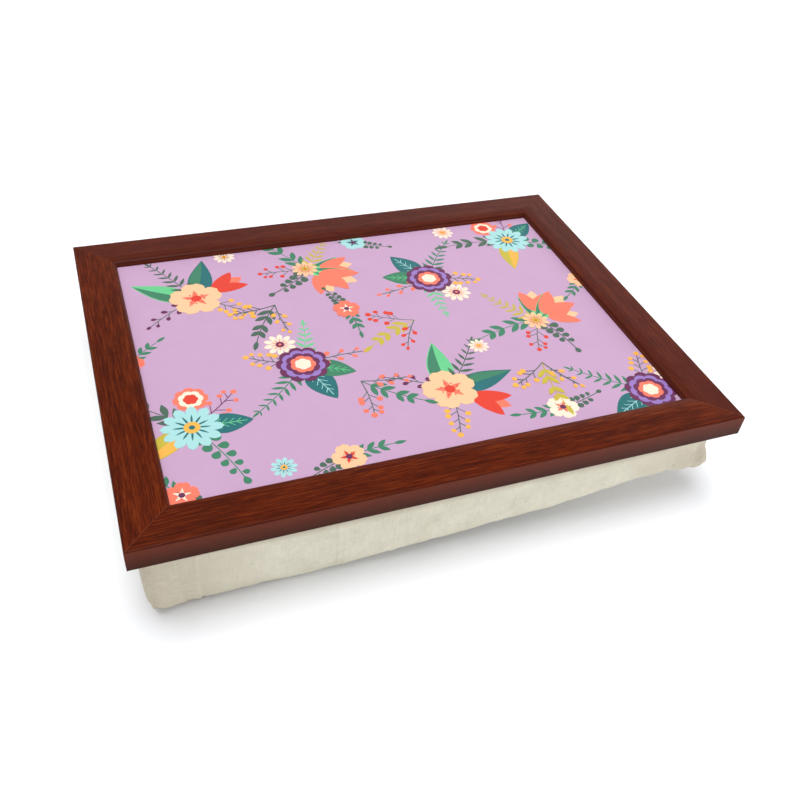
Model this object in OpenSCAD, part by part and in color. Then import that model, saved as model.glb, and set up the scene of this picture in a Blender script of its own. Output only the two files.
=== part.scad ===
// Padded lap tray: a mitred hardwood frame round a printed board, on a bead-filled cushion.
// Millimetres. The origin is on the surface that the cushion stands on, below the middle of
// the tray. +X runs to the right along the front rail, +Y runs to the back and +Z is up.

/* [Tray] */
// Width of the tray, left to right
tray_w = 420; // [340:5:500]
// Depth of the tray, front to back
tray_d = 320; // [260:5:400]
// Height of the frame's top above the surface that the cushion stands on
tray_h = 78; // [70:1:100]

/* [Frame moulding] */
// Width of the moulding, seen from above
rail_w = 30; // [27:0.5:36]
// Height of the moulding
rail_h = 16; // [14:0.5:20]
// Thickness of the lip over the panel's edge, which is the depth of the recess
lip_t = 5; // [4:0.25:6]
// Width of the rebate under the lip
rebate_w = 8; // [6:0.5:10]
// Radius of the outer top edge
outer_round = 1.2; // [0.5:0.1:2.5]
// Radius of the inner top edge
inner_round = 2.5; // [1:0.1:3.2]
// Width of the top that falls away towards the panel
shoulder_w = 10; // [6:0.5:14]
// Radius of that fall
shoulder_round = 40; // [28:1:70]

/* [Panel] */
// Thickness of the printed laminate
print_t = 0.8; // [0.5:0.1:1.5]
// Thickness of the board under the print
board_t = 3; // [2.5:0.5:4]
// Thickness of the balancing sheet under the board
backing_t = 0.5; // [0.3:0.1:1]
// Room between the panel's edge and the wall of the rebate
panel_clear = 0.5; // [0.2:0.1:1]

/* [Corner nails] */
// Length of each wing of a V-nail
nail_wing = 6; // [4:0.5:7]
// Thickness of the nail's strip
nail_t = 0.5; // [0.4:0.1:0.8]
// Height of the nail
nail_h = 10; // [7:0.5:11]
// Depth of the nail's foot above the underside of the frame
nail_sink = 0.3; // [0.1:0.1:1]

/* [Panel points] */
// Length of a flat steel point
point_l = 14; // [12:0.5:16]
// Width of the point
point_w = 6; // [4:0.5:9]
// Thickness of the point
point_t = 0.4; // [0.3:0.1:0.8]
// Length of its sharpened end
point_tip = 3; // [2:0.5:4]
// Length that is driven into the wall of the rebate
point_drive = 6.5; // [5:0.5:8]
// Widest spacing of the points along a rail
point_pitch = 100; // [70:5:140]
// Distance from the corner of the tray to the first point
point_end = 60; // [50:5:90]

/* [Hem staples] */
// Width of a staple over its legs
staple_w = 12; // [8:0.5:13]
// Length of the staple's legs
staple_leg = 8; // [6:0.5:10]
// Width of the staple's flat wire
wire_w = 1; // [0.7:0.1:1.3]
// Thickness of the staple's flat wire
wire_t = 0.6; // [0.4:0.1:0.8]
// Widest spacing of the staples along a rail
staple_pitch = 48; // [30:2:70]
// Distance from the corner of the tray to the middle of the first staple
staple_end = 42; // [36:1:60]

/* [Cushion cloth] */
// Distance from the edge of the tray to the cover, at the frame
cover_inset = 7; // [5:0.5:9]
// Thickness of the cover's calico
cloth_t = 0.8; // [0.5:0.1:1.2]
// Thickness of the lining that closes the cushion under the frame
lining_t = 0.5; // [0.3:0.1:0.8]
// Thickness of the turned-in double hem
hem_t = 1; // [0.6:0.1:1.6]
// Width of the hem
hem_w = 12; // [9:0.5:13]

/* [Cushion form] */
// Corner radius of the cushion at the frame
corner_top = 8; // [6:0.5:14]
// Corner radius of the cushion at its lower edge
corner_low = 14.5; // [10:0.5:26]
// Distance that the lower edge lies in from the cover's top edge
side_in = 12; // [8:0.5:20]
// Distance that the lower edge is drawn in between the corners
side_draw = 2; // [0:0.5:6]
// Squareness of the section where the filling is full: 2 is an ellipse
full_power = 3.4; // [2:0.1:5]
// Squareness of the section at the thin right end
thin_power = 7; // [2:0.1:9]
// Lift of the lower edge at the right end, where the filling is thin
right_lift = 25; // [0:1:30]
// Share of the width, from the left, where that lift begins
lift_from_share = 0.31; // [0.1:0.01:0.5]
// Lift of the lower edge at the back
back_lift = 6; // [0:1:14]
// Share of the underside that lies flat, measured from its middle
flat_share = 0.56; // [0.4:0.02:0.8]
// Depth by which the soft underside is pressed flat
stand_press = 0.5; // [0.2:0.1:1]

/* [Fits] */
// Clearance round nails, points and staple legs
drive_clear = 0.05; // [0.02:0.01:0.1]
// Gap between cloth pieces and what they lie against
cloth_gap = 0.3; // [0.2:0.05:0.5]
// Gap between the filling and the cover
bead_gap = 0.5; // [0.4:0.05:0.8]

/* [Hidden] */

// Each side, and the corner at its left end seen from outside, goes by the number of quarter
// turns that bring the front side to it
front_turn = 0;
right_turn = 1;
back_turn = 2;
left_turn = 3;
side_turns = [front_turn, right_turn, back_turn, left_turn];
side_len = [tray_w, tray_d, tray_w, tray_d];
side_reach = [tray_d / 2, tray_w / 2, tray_d / 2, tray_w / 2];
quarter_turn = 90;

// Overrun of every cut
cut_over = 2;
// Share of a pitch by which a row's gaps may pass it before the row takes one more
pitch_slack_share = 0.01;
// Fineness of the round edges
$fn = 96;

// Frame
rail_z = tray_h - rail_h;
rebate_wall = rail_w - rebate_w;
rebate_h = rail_h - lip_t;
shoulder_from = rail_w - shoulder_w;
shoulder_centre = [shoulder_from, rail_h - shoulder_round];
inner_run = rail_w - inner_round - shoulder_from;
inner_rise = sqrt(pow(shoulder_round - inner_round, 2) - pow(inner_run, 2));
inner_centre = shoulder_centre + [inner_run, inner_rise];
inner_away = [inner_run, inner_rise] / (shoulder_round - inner_round);

// Panel, from its face down
panel_w = tray_w - 2 * (rebate_wall + panel_clear);
panel_d = tray_d - 2 * (rebate_wall + panel_clear);
print_z = rail_z + rebate_h - print_t;
board_z = print_z - board_t;
backing_z = board_z - backing_t;
point_z = backing_z - point_t;

// Places of the two V-nails, as shares of the solid width beside the rebate
nail_shares = [0.2, 0.6];

// Cloth, from the frame down
lining_z = rail_z - lining_t;
hem_z = lining_z - hem_t;
fill_top = hem_z - wire_t - cloth_gap;
cover_top = rail_z - cloth_gap;
hem_inset = cover_inset + cloth_t + cloth_gap;
hem_corner = corner_top - cloth_t - cloth_gap;
staple_inset = hem_inset + hem_w / 2;

// Cushion form
side_steps = [6, 4, 6, 4];
corner_steps = 5;
section_steps = 9;
under_steps = 3;
lift_power = 1.25;

// Puts its children on one side of the tray: X along the rail, Y inwards from the outer face
module on_side(side) {
    rotate([0, 0, side * quarter_turn])
        translate([0, -side_reach[side], 0])
            children();
}

// Puts its children in one corner, with X and Y inwards along the two rails
module in_corner(corner) {
    rotate([0, 0, corner * quarter_turn])
        translate([-side_len[corner] / 2, -side_reach[corner], 0])
            children();
}

// Even places along one side, from end to end at most about one pitch apart
function places(side, pitch, end) =
    let (run = side_len[side] - 2 * end, gaps = ceil(run / pitch - pitch_slack_share))
    [for (i = [0 : gaps]) run * (i / gaps - 1 / 2)];

module round_plate(w, d, corner, height) {
    linear_extrude(height) {
        square([w - 2 * corner, d], center = true);
        square([w, d - 2 * corner], center = true);
        for (x = [-1, 1], y = [-1, 1])
            translate([x * (w / 2 - corner), y * (d / 2 - corner)])
                circle(corner);
    }
}

// Section of the moulding: X inwards from the outer face, Y up from the underside
module moulding_section() {
    difference() {
        square([rail_w, rail_h]);
        rebate_cut();
        outer_edge_cut();
        shoulder_cut();
        inner_edge_cut();
    }
}

module rebate_cut() {
    translate([rebate_wall, -cut_over])
        square([rebate_w + cut_over, rebate_h + cut_over]);
}

module outer_edge_cut() {
    difference() {
        translate([-cut_over, rail_h - outer_round])
            square([outer_round + cut_over, outer_round + cut_over]);
        translate([outer_round, rail_h - outer_round])
            circle(outer_round);
    }
}

module shoulder_cut() {
    difference() {
        translate([shoulder_from, rail_h - lip_t])
            square([shoulder_w + cut_over, lip_t + cut_over]);
        translate(shoulder_centre)
            circle(shoulder_round);
    }
}

module inner_edge_cut() {
    difference() {
        polygon([
            inner_centre,
            inner_centre + inner_away * (inner_round + cut_over),
            [rail_w + cut_over, inner_centre[1] + inner_round + cut_over],
            [rail_w + cut_over, inner_centre[1]]
        ]);
        translate(inner_centre)
            circle(inner_round);
    }
}

// One length of moulding, mitred at both ends
module mitred_length(length) {
    intersection() {
        translate([-length / 2, 0, 0])
            rotate([90, 0, 90])
                linear_extrude(length)
                    moulding_section();
        translate([0, 0, -cut_over])
            linear_extrude(rail_h + 2 * cut_over)
                polygon([
                    [-length / 2, 0],
                    [length / 2, 0],
                    [length / 2 - rail_w - cut_over, rail_w + cut_over],
                    [-length / 2 + rail_w + cut_over, rail_w + cut_over]
                ]);
    }
}

module rail(side) {
    color("#6b2c1b")
        difference() {
            translate([0, 0, rail_z])
                on_side(side)
                    mitred_length(side_len[side]);
            nail_pockets(side);
            nail_pockets(side_turns[(side + 1) % len(side_turns)]);
            on_side(side) {
                point_row(side, drive_clear);
                leg_row(side, drive_clear);
            }
        }
}

// A V-nail from above, its tip on the mitre and a wing in each rail
module v_strip(grow, height) {
    linear_extrude(height)
        polygon([
            [-grow, -grow],
            [nail_wing + grow, -grow],
            [nail_wing + grow, nail_t + grow],
            [nail_t + grow, nail_t + grow],
            [nail_t + grow, nail_wing + grow],
            [-grow, nail_wing + grow]
        ]);
}

module nail_places(corner) {
    in_corner(corner)
        for (share = nail_shares)
            translate([share * rebate_wall, share * rebate_wall, 0])
                children();
}

module nail_pockets(corner) {
    nail_places(corner)
        translate([0, 0, rail_z - cut_over])
            v_strip(drive_clear, cut_over + nail_sink + nail_h + drive_clear);
}

module v_nails(corner) {
    color("#9a9ca0")
        nail_places(corner)
            translate([0, 0, rail_z + nail_sink])
                v_strip(0, nail_h);
}

module panel_sheet(z, thickness) {
    translate([-panel_w / 2, -panel_d / 2, z])
        cube([panel_w, panel_d, thickness]);
}

module print_laminate() {
    color("#d7b2d0") panel_sheet(print_z, print_t);
}

module tray_board() {
    color("#b08a5e") panel_sheet(board_z, board_t);
}

module backing_sheet() {
    color("#c8b79a") panel_sheet(backing_z, backing_t);
}

// Flat points, driven outwards into the wall of the rebate just below the backing
module point_row(side, grow) {
    for (x = places(side, point_pitch, point_end))
        translate([x, rebate_wall + point_l - point_drive, point_z - grow])
            linear_extrude(point_t + 2 * grow)
                polygon([
                    [point_w / 2 + grow, 0],
                    [-point_w / 2 - grow, 0],
                    [-point_w / 2 - grow, point_tip - point_l],
                    [0, -point_l - grow],
                    [point_w / 2 + grow, point_tip - point_l]
                ]);
}

module panel_points(side) {
    color("#9a9ca0") on_side(side) point_row(side, 0);
}

// Staple legs, from the underside of the hem up
module leg_row(side, grow) {
    for (x = places(side, staple_pitch, staple_end), leg = [-1, 1])
        translate([
            x + leg * (staple_w - wire_t) / 2 - wire_t / 2 - grow,
            staple_inset - wire_w / 2 - grow,
            hem_z
        ])
            cube([wire_t + 2 * grow, wire_w + 2 * grow, staple_leg - wire_t + grow]);
}

module crown_row(side) {
    for (x = places(side, staple_pitch, staple_end))
        translate([x - staple_w / 2, staple_inset - wire_w / 2, hem_z - wire_t])
            cube([staple_w, wire_w, wire_t]);
}

module hem_staples(side) {
    color("#a9abae")
        on_side(side) {
            leg_row(side, 0);
            crown_row(side);
        }
}

module leg_holes() {
    for (side = side_turns)
        on_side(side)
            translate([0, 0, -cut_over])
                leg_row(side, drive_clear);
}

module cushion_lining() {
    color("#ded5c0")
        difference() {
            translate([0, 0, lining_z])
                round_plate(tray_w - 2 * hem_inset, tray_d - 2 * hem_inset, hem_corner, lining_t);
            leg_holes();
        }
}

// The cover's turned-in hem, which lies flat against the lining
module cushion_hem() {
    color("#e4dcc8")
        difference() {
            translate([0, 0, hem_z])
                round_plate(tray_w - 2 * hem_inset, tray_d - 2 * hem_inset, hem_corner, hem_t);
            translate([0, 0, hem_z - cut_over])
                linear_extrude(hem_t + 2 * cut_over)
                    square([
                        tray_w - 2 * (hem_inset + hem_w),
                        tray_d - 2 * (hem_inset + hem_w)
                    ], center = true);
            leg_holes();
        }
}

// Quarter turns of a point in plan
function turned(p, side) =
    side == front_turn ? p :
    side == right_turn ? [-p[1], p[0]] :
    side == back_turn ? [-p[0], -p[1]] : [p[1], -p[0]];

// One side of the cushion in plan, drawn in along its length, then the corner at its far end
function side_points(half, reach, corner, draw, steps) = concat(
    [for (i = [0 : steps])
        let (t = i / steps)
        [(half - corner) * (2 * t - 1), draw * 4 * t * (1 - t) - reach]],
    [for (i = [1 : corner_steps - 1])
        let (a = quarter_turn * (i / corner_steps - 1))
        [half - corner + corner * cos(a), corner * (1 + sin(a)) - reach]]
);

function plan_ring(inset, corner, draw) = [
    for (side = side_turns)
        for (p = side_points(
            side_len[side] / 2 - inset, side_reach[side] - inset, corner, draw, side_steps[side]))
            turned([p[0], p[1]], side)
];

// How far the filling has thinned out towards the right end, from 0 to about 1
function thinning(p) = max(0, (p[0] / tray_w + 1 / 2 - lift_from_share) / (1 - lift_from_share));

edge_ring = plan_ring(cover_inset + side_in, corner_low, side_draw);
stations = len(edge_ring);
// Height of the cushion's lower edge, and squareness of its section, at each station
edge_lift = [
    for (p = edge_ring)
        let (thin = thinning(p), back = p[1] / tray_d + 1 / 2)
        right_lift * pow(thin, lift_power) + back_lift * back * (1 - thin)
];
edge_power = [for (p = edge_ring) full_power + (thin_power - full_power) * thinning(p)];

// Rings of the cushion's form at a depth below its outer surface, from the top down. The
// section of a side is a quarter of a superellipse.
function side_ring(depth, top, a) =
    let (upper = plan_ring(cover_inset + depth, corner_top - depth, 0))
    [for (i = [0 : stations - 1])
        let (inwards = 1 - pow(cos(a), 2 / edge_power[i]),
             down = pow(sin(a), 2 / edge_power[i]),
             plan = upper[i] + (edge_ring[i] - upper[i]) * inwards)
        [plan[0], plan[1], top + (edge_lift[i] + depth - top) * down]];

function under_ring(depth, v) =
    let (share = 1 - (1 - flat_share) * v, rise = pow(1 - v, 2))
    [for (i = [0 : stations - 1])
        [edge_ring[i][0] * share, edge_ring[i][1] * share,
         depth + max(0, (edge_lift[i] + stand_press) * rise - stand_press)]];

function form_points(depth, top) = concat(
    [for (j = [0 : section_steps]) each side_ring(depth, top, quarter_turn * j / section_steps)],
    [for (j = [1 : under_steps]) each under_ring(depth, j / under_steps)]
);
rings = section_steps + under_steps;

// Triangles between two rings of points, the outer face on the left of the way round
function band(upper, lower) = [
    for (i = [0 : stations - 1])
        let (k = (i + 1) % stations)
        each [
            [upper + i, upper + k, lower + k],
            [upper + i, lower + k, lower + i]
        ]
];
function flipped(faces) = [for (f = faces) [for (i = [len(f) - 1 : -1 : 0]) f[i]]];
function form_faces(first) = concat(
    [for (j = [0 : rings - 1]) each band(first + j * stations, first + (j + 1) * stations)],
    [[for (i = [0 : stations - 1]) first + rings * stations + i]]
);

// The calico cover, open at the top where the hem is turned in
module cushion_cover() {
    inner = (rings + 1) * stations;
    color("#e2dac6")
        polyhedron(
            points = concat(form_points(0, cover_top), form_points(cloth_t, cover_top)),
            faces = concat(form_faces(0), flipped(form_faces(inner)), flipped(band(0, inner)))
        );
}

module bead_fill() {
    color("#f3f3f0")
        polyhedron(
            points = form_points(cloth_t + bead_gap, fill_top),
            faces = concat(form_faces(0), [[for (i = [stations - 1 : -1 : 0]) i]])
        );
}

rail(front_turn);  // front_rail
rail(right_turn);  // right_rail
rail(back_turn);  // back_rail
rail(left_turn);  // left_rail
v_nails(front_turn);  // v_nails_front_left
v_nails(right_turn);  // v_nails_front_right
v_nails(back_turn);  // v_nails_back_right
v_nails(left_turn);  // v_nails_back_left
print_laminate();
tray_board();
backing_sheet();
panel_points(front_turn);  // panel_points_front
panel_points(right_turn);  // panel_points_right
panel_points(back_turn);  // panel_points_back
panel_points(left_turn);  // panel_points_left
cushion_lining();
cushion_hem();
hem_staples(front_turn);  // hem_staples_front
hem_staples(right_turn);  // hem_staples_right
hem_staples(back_turn);  // hem_staples_back
hem_staples(left_turn);  // hem_staples_left
cushion_cover();
bead_fill();
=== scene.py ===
"""Looks for the padded lap tray: metres, in the row frame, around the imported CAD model."""

import math

import bpy
import numpy as np
from mathutils import Matrix, Vector, noise


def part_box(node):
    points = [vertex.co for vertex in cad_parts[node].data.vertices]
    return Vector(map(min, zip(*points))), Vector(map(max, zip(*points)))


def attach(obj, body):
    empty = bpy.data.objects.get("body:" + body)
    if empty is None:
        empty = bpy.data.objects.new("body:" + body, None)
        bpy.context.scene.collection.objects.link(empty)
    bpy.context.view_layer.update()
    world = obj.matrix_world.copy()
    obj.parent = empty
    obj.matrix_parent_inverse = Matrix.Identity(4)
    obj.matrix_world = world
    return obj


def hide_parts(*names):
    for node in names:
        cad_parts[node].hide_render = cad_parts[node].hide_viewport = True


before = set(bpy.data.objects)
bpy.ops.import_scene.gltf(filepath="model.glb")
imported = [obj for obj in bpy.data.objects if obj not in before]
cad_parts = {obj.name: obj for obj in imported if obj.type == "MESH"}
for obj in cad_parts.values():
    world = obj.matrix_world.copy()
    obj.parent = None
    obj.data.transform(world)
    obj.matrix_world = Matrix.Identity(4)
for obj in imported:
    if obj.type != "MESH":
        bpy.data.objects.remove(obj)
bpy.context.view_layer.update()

MM = 0.001
SIDES = ("front", "right", "back", "left")

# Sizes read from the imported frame
FRONT_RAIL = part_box("front_rail")
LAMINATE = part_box("print_laminate")
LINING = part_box("cushion_lining")
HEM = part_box("cushion_hem")
TRAY_W = FRONT_RAIL[1][0] - FRONT_RAIL[0][0]
TRAY_D = -2 * FRONT_RAIL[0][1]
RAIL_W = FRONT_RAIL[1][1] - FRONT_RAIL[0][1]
RAIL_TOP = FRONT_RAIL[1][2]
RAIL_UNDERSIDE = FRONT_RAIL[0][2]
PANEL_TOP = LAMINATE[1][2]
SIGHT_X = TRAY_W / 2 - RAIL_W
SIGHT_Y = TRAY_D / 2 - RAIL_W

# Cushion, as in the part's source
COVER_INSET = 0.007
CLOTH_T = 0.0008
CORNER_TOP = 0.008
CORNER_LOW = 0.0145
SIDE_IN = 0.012
SIDE_DRAW = 0.002
FULL_POWER = 3.4
THIN_POWER = 7.0
RIGHT_LIFT = 0.025
LIFT_FROM_SHARE = 0.31
LIFT_POWER = 1.25
BACK_LIFT = 0.006
FLAT_SHARE = 0.56
STAND_PRESS = 0.0005
COVER_TOP = RAIL_UNDERSIDE - 0.0003
FILL_TOP = 0.0596
FILL_DEPTH = CLOTH_T + 0.0008
# Room between the hem, the lining and what they lie against
CLOTH_ROOM = 0.00005


def paint(red, green, blue):
    """A colour as a paint chart gives it, 0 to 255, turned into Blender's linear values."""
    def linear(value):
        share = value / 255
        return share / 12.92 if share <= 0.04045 else ((share + 0.055) / 1.055) ** 2.4
    return (linear(red), linear(green), linear(blue), 1.0)


# Node helpers

def feed(tree, socket, value):
    """Links a socket to another one, or sets its value."""
    if isinstance(value, bpy.types.NodeSocket):
        tree.links.new(value, socket)
    else:
        socket.default_value = value


def add(tree, kind, inputs=None, **settings):
    node = tree.nodes.new(kind)
    for name, value in settings.items():
        setattr(node, name, value)
    for name, value in (inputs or {}).items():
        feed(tree, node.inputs[name], value)
    return node


def maths(tree, operation, *values):
    node = add(tree, "ShaderNodeMath", operation=operation)
    for i, value in enumerate(values):
        feed(tree, node.inputs[i], value)
    return node.outputs[0]


def vector_maths(tree, operation, *values):
    node = add(tree, "ShaderNodeVectorMath", operation=operation)
    for i, value in enumerate(values):
        feed(tree, node.inputs[i], value)
    return node.outputs[0]


def times(tree, *values):
    return maths(tree, "MULTIPLY", *values)


def plus(tree, *values):
    return maths(tree, "ADD", *values)


def parts(tree, vector):
    """The X, Y and Z of a vector."""
    return add(tree, "ShaderNodeSeparateXYZ", {0: vector}).outputs


def mixed(tree, share, first, second):
    node = add(tree, "ShaderNodeMix", data_type="RGBA")
    feed(tree, node.inputs[0], share)
    feed(tree, node.inputs[6], first)
    feed(tree, node.inputs[7], second)
    return node.outputs[2]


def ranged(tree, value, low, high, to_low=0.0, to_high=1.0):
    return add(tree, "ShaderNodeMapRange", {
        "Value": value,
        "From Min": low,
        "From Max": high,
        "To Min": to_low,
        "To Max": to_high,
    }, clamp=True).outputs[0]


def cloudy(tree, vector, scale, detail=3.0, rough=0.55):
    return add(tree, "ShaderNodeTexNoise", {
        "Vector": vector,
        "Scale": scale,
        "Detail": detail,
        "Roughness": rough,
    }).outputs["Fac"]


def stretched(tree, vector, scale, offset=(0, 0, 0)):
    return add(tree, "ShaderNodeMapping", {
        "Vector": vector,
        "Scale": scale,
        "Location": offset,
    }).outputs[0]


SURFACE = [("Color", "colour"), ("Roughness", "value"), ("Height", "value")]


def new_group(name, takes, gives):
    """A shader group with a Vector and other named inputs, and with named outputs."""
    tree = bpy.data.node_groups.new(name, "ShaderNodeTree")
    kinds = {"vector": "NodeSocketVector", "colour": "NodeSocketColor", "value": "NodeSocketFloat"}
    for label, kind, value in [("Vector", "vector", (0.0, 0.0, 0.0)), *takes]:
        socket = tree.interface.new_socket(name=label, in_out="INPUT", socket_type=kinds[kind])
        socket.default_value = value
    for label, kind in gives:
        tree.interface.new_socket(name=label, in_out="OUTPUT", socket_type=kinds[kind])
    return tree, tree.nodes.new("NodeGroupInput").outputs


def give_out(tree, **values):
    """Feeds a group's outputs, and gives the group back."""
    given = tree.nodes.new("NodeGroupOutput").inputs
    for name, value in values.items():
        feed(tree, given[name], value)
    return tree


def place_group(tree, group, **inputs):
    node = tree.nodes.new("ShaderNodeGroup")
    node.node_tree = group
    for name, value in inputs.items():
        feed(tree, node.inputs[name], value)
    return node.outputs


# Effects that materials share

RADIANS_PER_THREAD = 6.2832


def wood_grain_group():
    """Grain for a vector in millimetres across it, and in lengths of 20 mm along it."""
    tree, take = new_group("Wood grain", [
        ("Dark", "colour", paint(60, 14, 5)),
        ("Middle", "colour", paint(98, 30, 10)),
        ("Light", "colour", paint(124, 46, 18)),
        ("Pore depth", "value", 0.6),
    ], SURFACE)
    drift = add(tree, "ShaderNodeTexNoise", {"Vector": take["Vector"], "Scale": 0.06, "Detail": 1.0})
    wander = vector_maths(tree, "SUBTRACT", drift.outputs["Color"], (0.5, 0.5, 0.5))
    wander = vector_maths(tree, "MULTIPLY", wander, (5.0, 5.0, 5.0))
    along = vector_maths(tree, "ADD", take["Vector"], wander)
    bands = cloudy(tree, along, 0.2, 2.0)
    streaks = cloudy(tree, along, 1.1, 4.0, 0.72)
    tone = plus(tree, times(tree, bands, 0.25), times(tree, streaks, 0.75))
    colour = mixed(tree, ranged(tree, tone, 0.36, 0.5), take["Dark"], take["Middle"])
    colour = mixed(tree, ranged(tree, tone, 0.5, 0.64), colour, take["Light"])
    pores = ranged(tree, cloudy(tree, along, 1.7, 2.0, 0.5), 0.56, 0.66)
    pores = times(tree, pores, ranged(tree, bands, 0.4, 0.6, 0.35, 1.0))
    colour = mixed(tree, times(tree, pores, take["Pore depth"]), colour, take["Dark"])
    roughness = ranged(tree, tone, 0.35, 0.65, 0.4, 0.31)
    height = maths(tree, "SUBTRACT", streaks, pores)
    return give_out(tree, Color=colour, Roughness=roughness, Height=height)


def mitre_line_group():
    """A mask of the hairline where two rails meet, from the place on the tray in metres."""
    tree, take = new_group("Mitre line", [
        ("Offset", "value", 0.05),
        ("Half width", "value", 0.0001),
        ("At the front", "value", 0.5),
        ("At the back", "value", 0.1),
    ], [("Mask", "value")])
    axes = parts(tree, take["Vector"])
    across = maths(tree, "SUBTRACT", maths(tree, "ABSOLUTE", axes[0]),
                   maths(tree, "ABSOLUTE", axes[1]))
    away = maths(tree, "ABSOLUTE", maths(tree, "SUBTRACT", across, take["Offset"]))
    share = maths(tree, "DIVIDE", away, take["Half width"])
    clear = ranged(tree, axes[1], -0.1, 0.1, take["At the front"], take["At the back"])
    return give_out(tree, Mask=times(tree, ranged(tree, share, 0.8, 2.2, 1.0, 0.0), clear))


def stain_depth_group():
    """Stain that has taken deeper in some stretches of the wood than in others."""
    tree, take = new_group("Stain depth", [
        ("Color", "colour", (0.5, 0.5, 0.5, 1.0)),
        ("Deep stain", "colour", paint(52, 20, 7)),
    ], [("Color", "colour")])
    stretches = cloudy(tree, take["Vector"], 28.0, 3.0, 0.6)
    deep = ranged(tree, stretches, 0.45, 0.75, 0.0, 0.4)
    return give_out(tree, Color=mixed(tree, deep, take["Color"], take["Deep stain"]))


def side_shade_group():
    """Painted shade on the moulding's machined sides, by how far each face turns from up: dark at the
    arris, pale below it and dark at the foot.
    """
    tree, take = new_group("Painted side shade", [
        ("Facing", "vector", (0.0, 0.0, 1.0)),
        ("Color", "colour", (0.5, 0.5, 0.5, 1.0)),
        ("Arris", "colour", paint(58, 16, 6)),
        ("Upper side", "colour", paint(105, 47, 29)),
        ("Lower side", "colour", paint(50, 19, 4)),
        ("Share", "value", 0.75),
    ], [("Color", "colour")])
    upward = parts(tree, take["Facing"])["Z"]
    height = parts(tree, take["Vector"])["Z"]
    arris = ranged(tree, upward, 0.99, 0.85, 0.0, 0.5)
    colour = mixed(tree, arris, take["Color"], take["Arris"])
    drop = ranged(tree, height, RAIL_TOP - 0.002, RAIL_UNDERSIDE)
    side = mixed(tree, drop, take["Upper side"], take["Lower side"])
    beside = times(tree, ranged(tree, upward, 0.6, 0.25), take["Share"])
    return give_out(tree, Color=mixed(tree, beside, colour, side))


def thread_heights(tree, place, threads_per_mm):
    """The threads of a plain weave crossing over and under, from -1 to 1."""
    threads = vector_maths(tree, "SCALE", place)
    feed(tree, threads.node.inputs["Scale"], times(tree, threads_per_mm, RADIANS_PER_THREAD))
    axes = parts(tree, threads)
    return times(tree, maths(tree, "SINE", axes[0]), maths(tree, "SINE", axes[1]))


def husk_flecks(tree, place, share):
    """Small dark spots of seed husk, which lie closer in some parts of the cloth."""
    cells = add(tree, "ShaderNodeTexVoronoi", {
        "Vector": stretched(tree, place, (1.0, 0.8, 1.0)),
        "Scale": 0.22,
    })
    chosen = add(tree, "ShaderNodeSeparateColor", {0: cells.outputs["Color"]}).outputs
    near = ranged(tree, cells.outputs["Distance"], 0.05, 0.13, 1.0, 0.0)
    strewn = ranged(tree, cloudy(tree, place, 0.04, 1.0), 0.48, 0.58)
    fleck = times(tree, near, ranged(tree, chosen[0], 0.45, 0.85))
    return times(tree, times(tree, fleck, strewn), share)


def plain_weave_group():
    """Calico for a vector in millimetres along and down the cloth."""
    tree, take = new_group("Plain weave", [
        ("Cloth", "colour", paint(237, 232, 213)),
        ("Shade", "colour", paint(208, 202, 181)),
        ("Smudge and shade", "colour", paint(188, 176, 154)),
        ("Fleck", "colour", paint(140, 108, 74)),
        ("Threads per mm", "value", 2.1),
        ("Fleck share", "value", 0.6),
        ("Handling", "value", 0.0),
    ], SURFACE)
    place = take["Vector"]
    crossing = thread_heights(tree, place, take["Threads per mm"])
    slubs_down = cloudy(tree, stretched(tree, place, (1.1, 0.08, 1.0)), 1.0, 3.0, 0.6)
    slubs_along = cloudy(tree, stretched(tree, place, (0.06, 1.3, 1.0)), 1.0, 3.0, 0.6)
    slubs = plus(tree, slubs_down, slubs_along)
    clouds = cloudy(tree, place, 0.05, 4.0, 0.62)
    patches = cloudy(tree, place, 0.35, 3.0, 0.6)
    tone = plus(tree, times(tree, ranged(tree, slubs, 0.75, 1.25), 0.34),
                times(tree, ranged(tree, clouds, 0.32, 0.68), 0.42))
    tone = plus(tree, tone, times(tree, ranged(tree, patches, 0.32, 0.68), 0.24))
    colour = mixed(tree, tone, take["Shade"], take["Cloth"])
    smudges = ranged(tree, cloudy(tree, place, 0.07, 4.0, 0.6), 0.55, 0.75, 0.0, 0.3)
    # Painted shade from the calico material, blotchy with the patches, darkens the cloth towards the
    # smudge colour; the smudges themselves are random tone
    painted_shade_share = times(tree, take["Handling"], ranged(tree, patches, 0.3, 0.7, 0.72, 1.28))
    colour = mixed(tree, maths(tree, "MAXIMUM", smudges, painted_shade_share), colour, take["Smudge and shade"])
    fleck = husk_flecks(tree, place, take["Fleck share"])
    colour = mixed(tree, fleck, colour, take["Fleck"])
    roughness = ranged(tree, tone, 0.0, 1.0, 0.94, 0.86)
    height = plus(tree, times(tree, crossing, 0.35), times(tree, slubs, 0.6))
    return give_out(tree, Color=colour, Roughness=roughness, Height=height)


def printed_sheet_group():
    """Ink on a satin melamine face: a trace of unevenness, for a vector in metres."""
    tree, take = new_group("Printed sheet", [
        ("Ink", "colour", (0.5, 0.5, 0.5, 1.0)),
        ("Unevenness", "value", 0.03),
    ], SURFACE)
    patches = cloudy(tree, take["Vector"], 60.0, 3.0)
    grit = cloudy(tree, take["Vector"], 900.0, 2.0)
    shade = times(tree, ranged(tree, patches, 0.3, 0.7), take["Unevenness"])
    colour = mixed(tree, shade, take["Ink"], (0.0, 0.0, 0.0, 1.0))
    roughness = ranged(tree, grit, 0.3, 0.7, 0.42, 0.5)
    return give_out(tree, Color=colour, Roughness=roughness, Height=grit)


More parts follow.
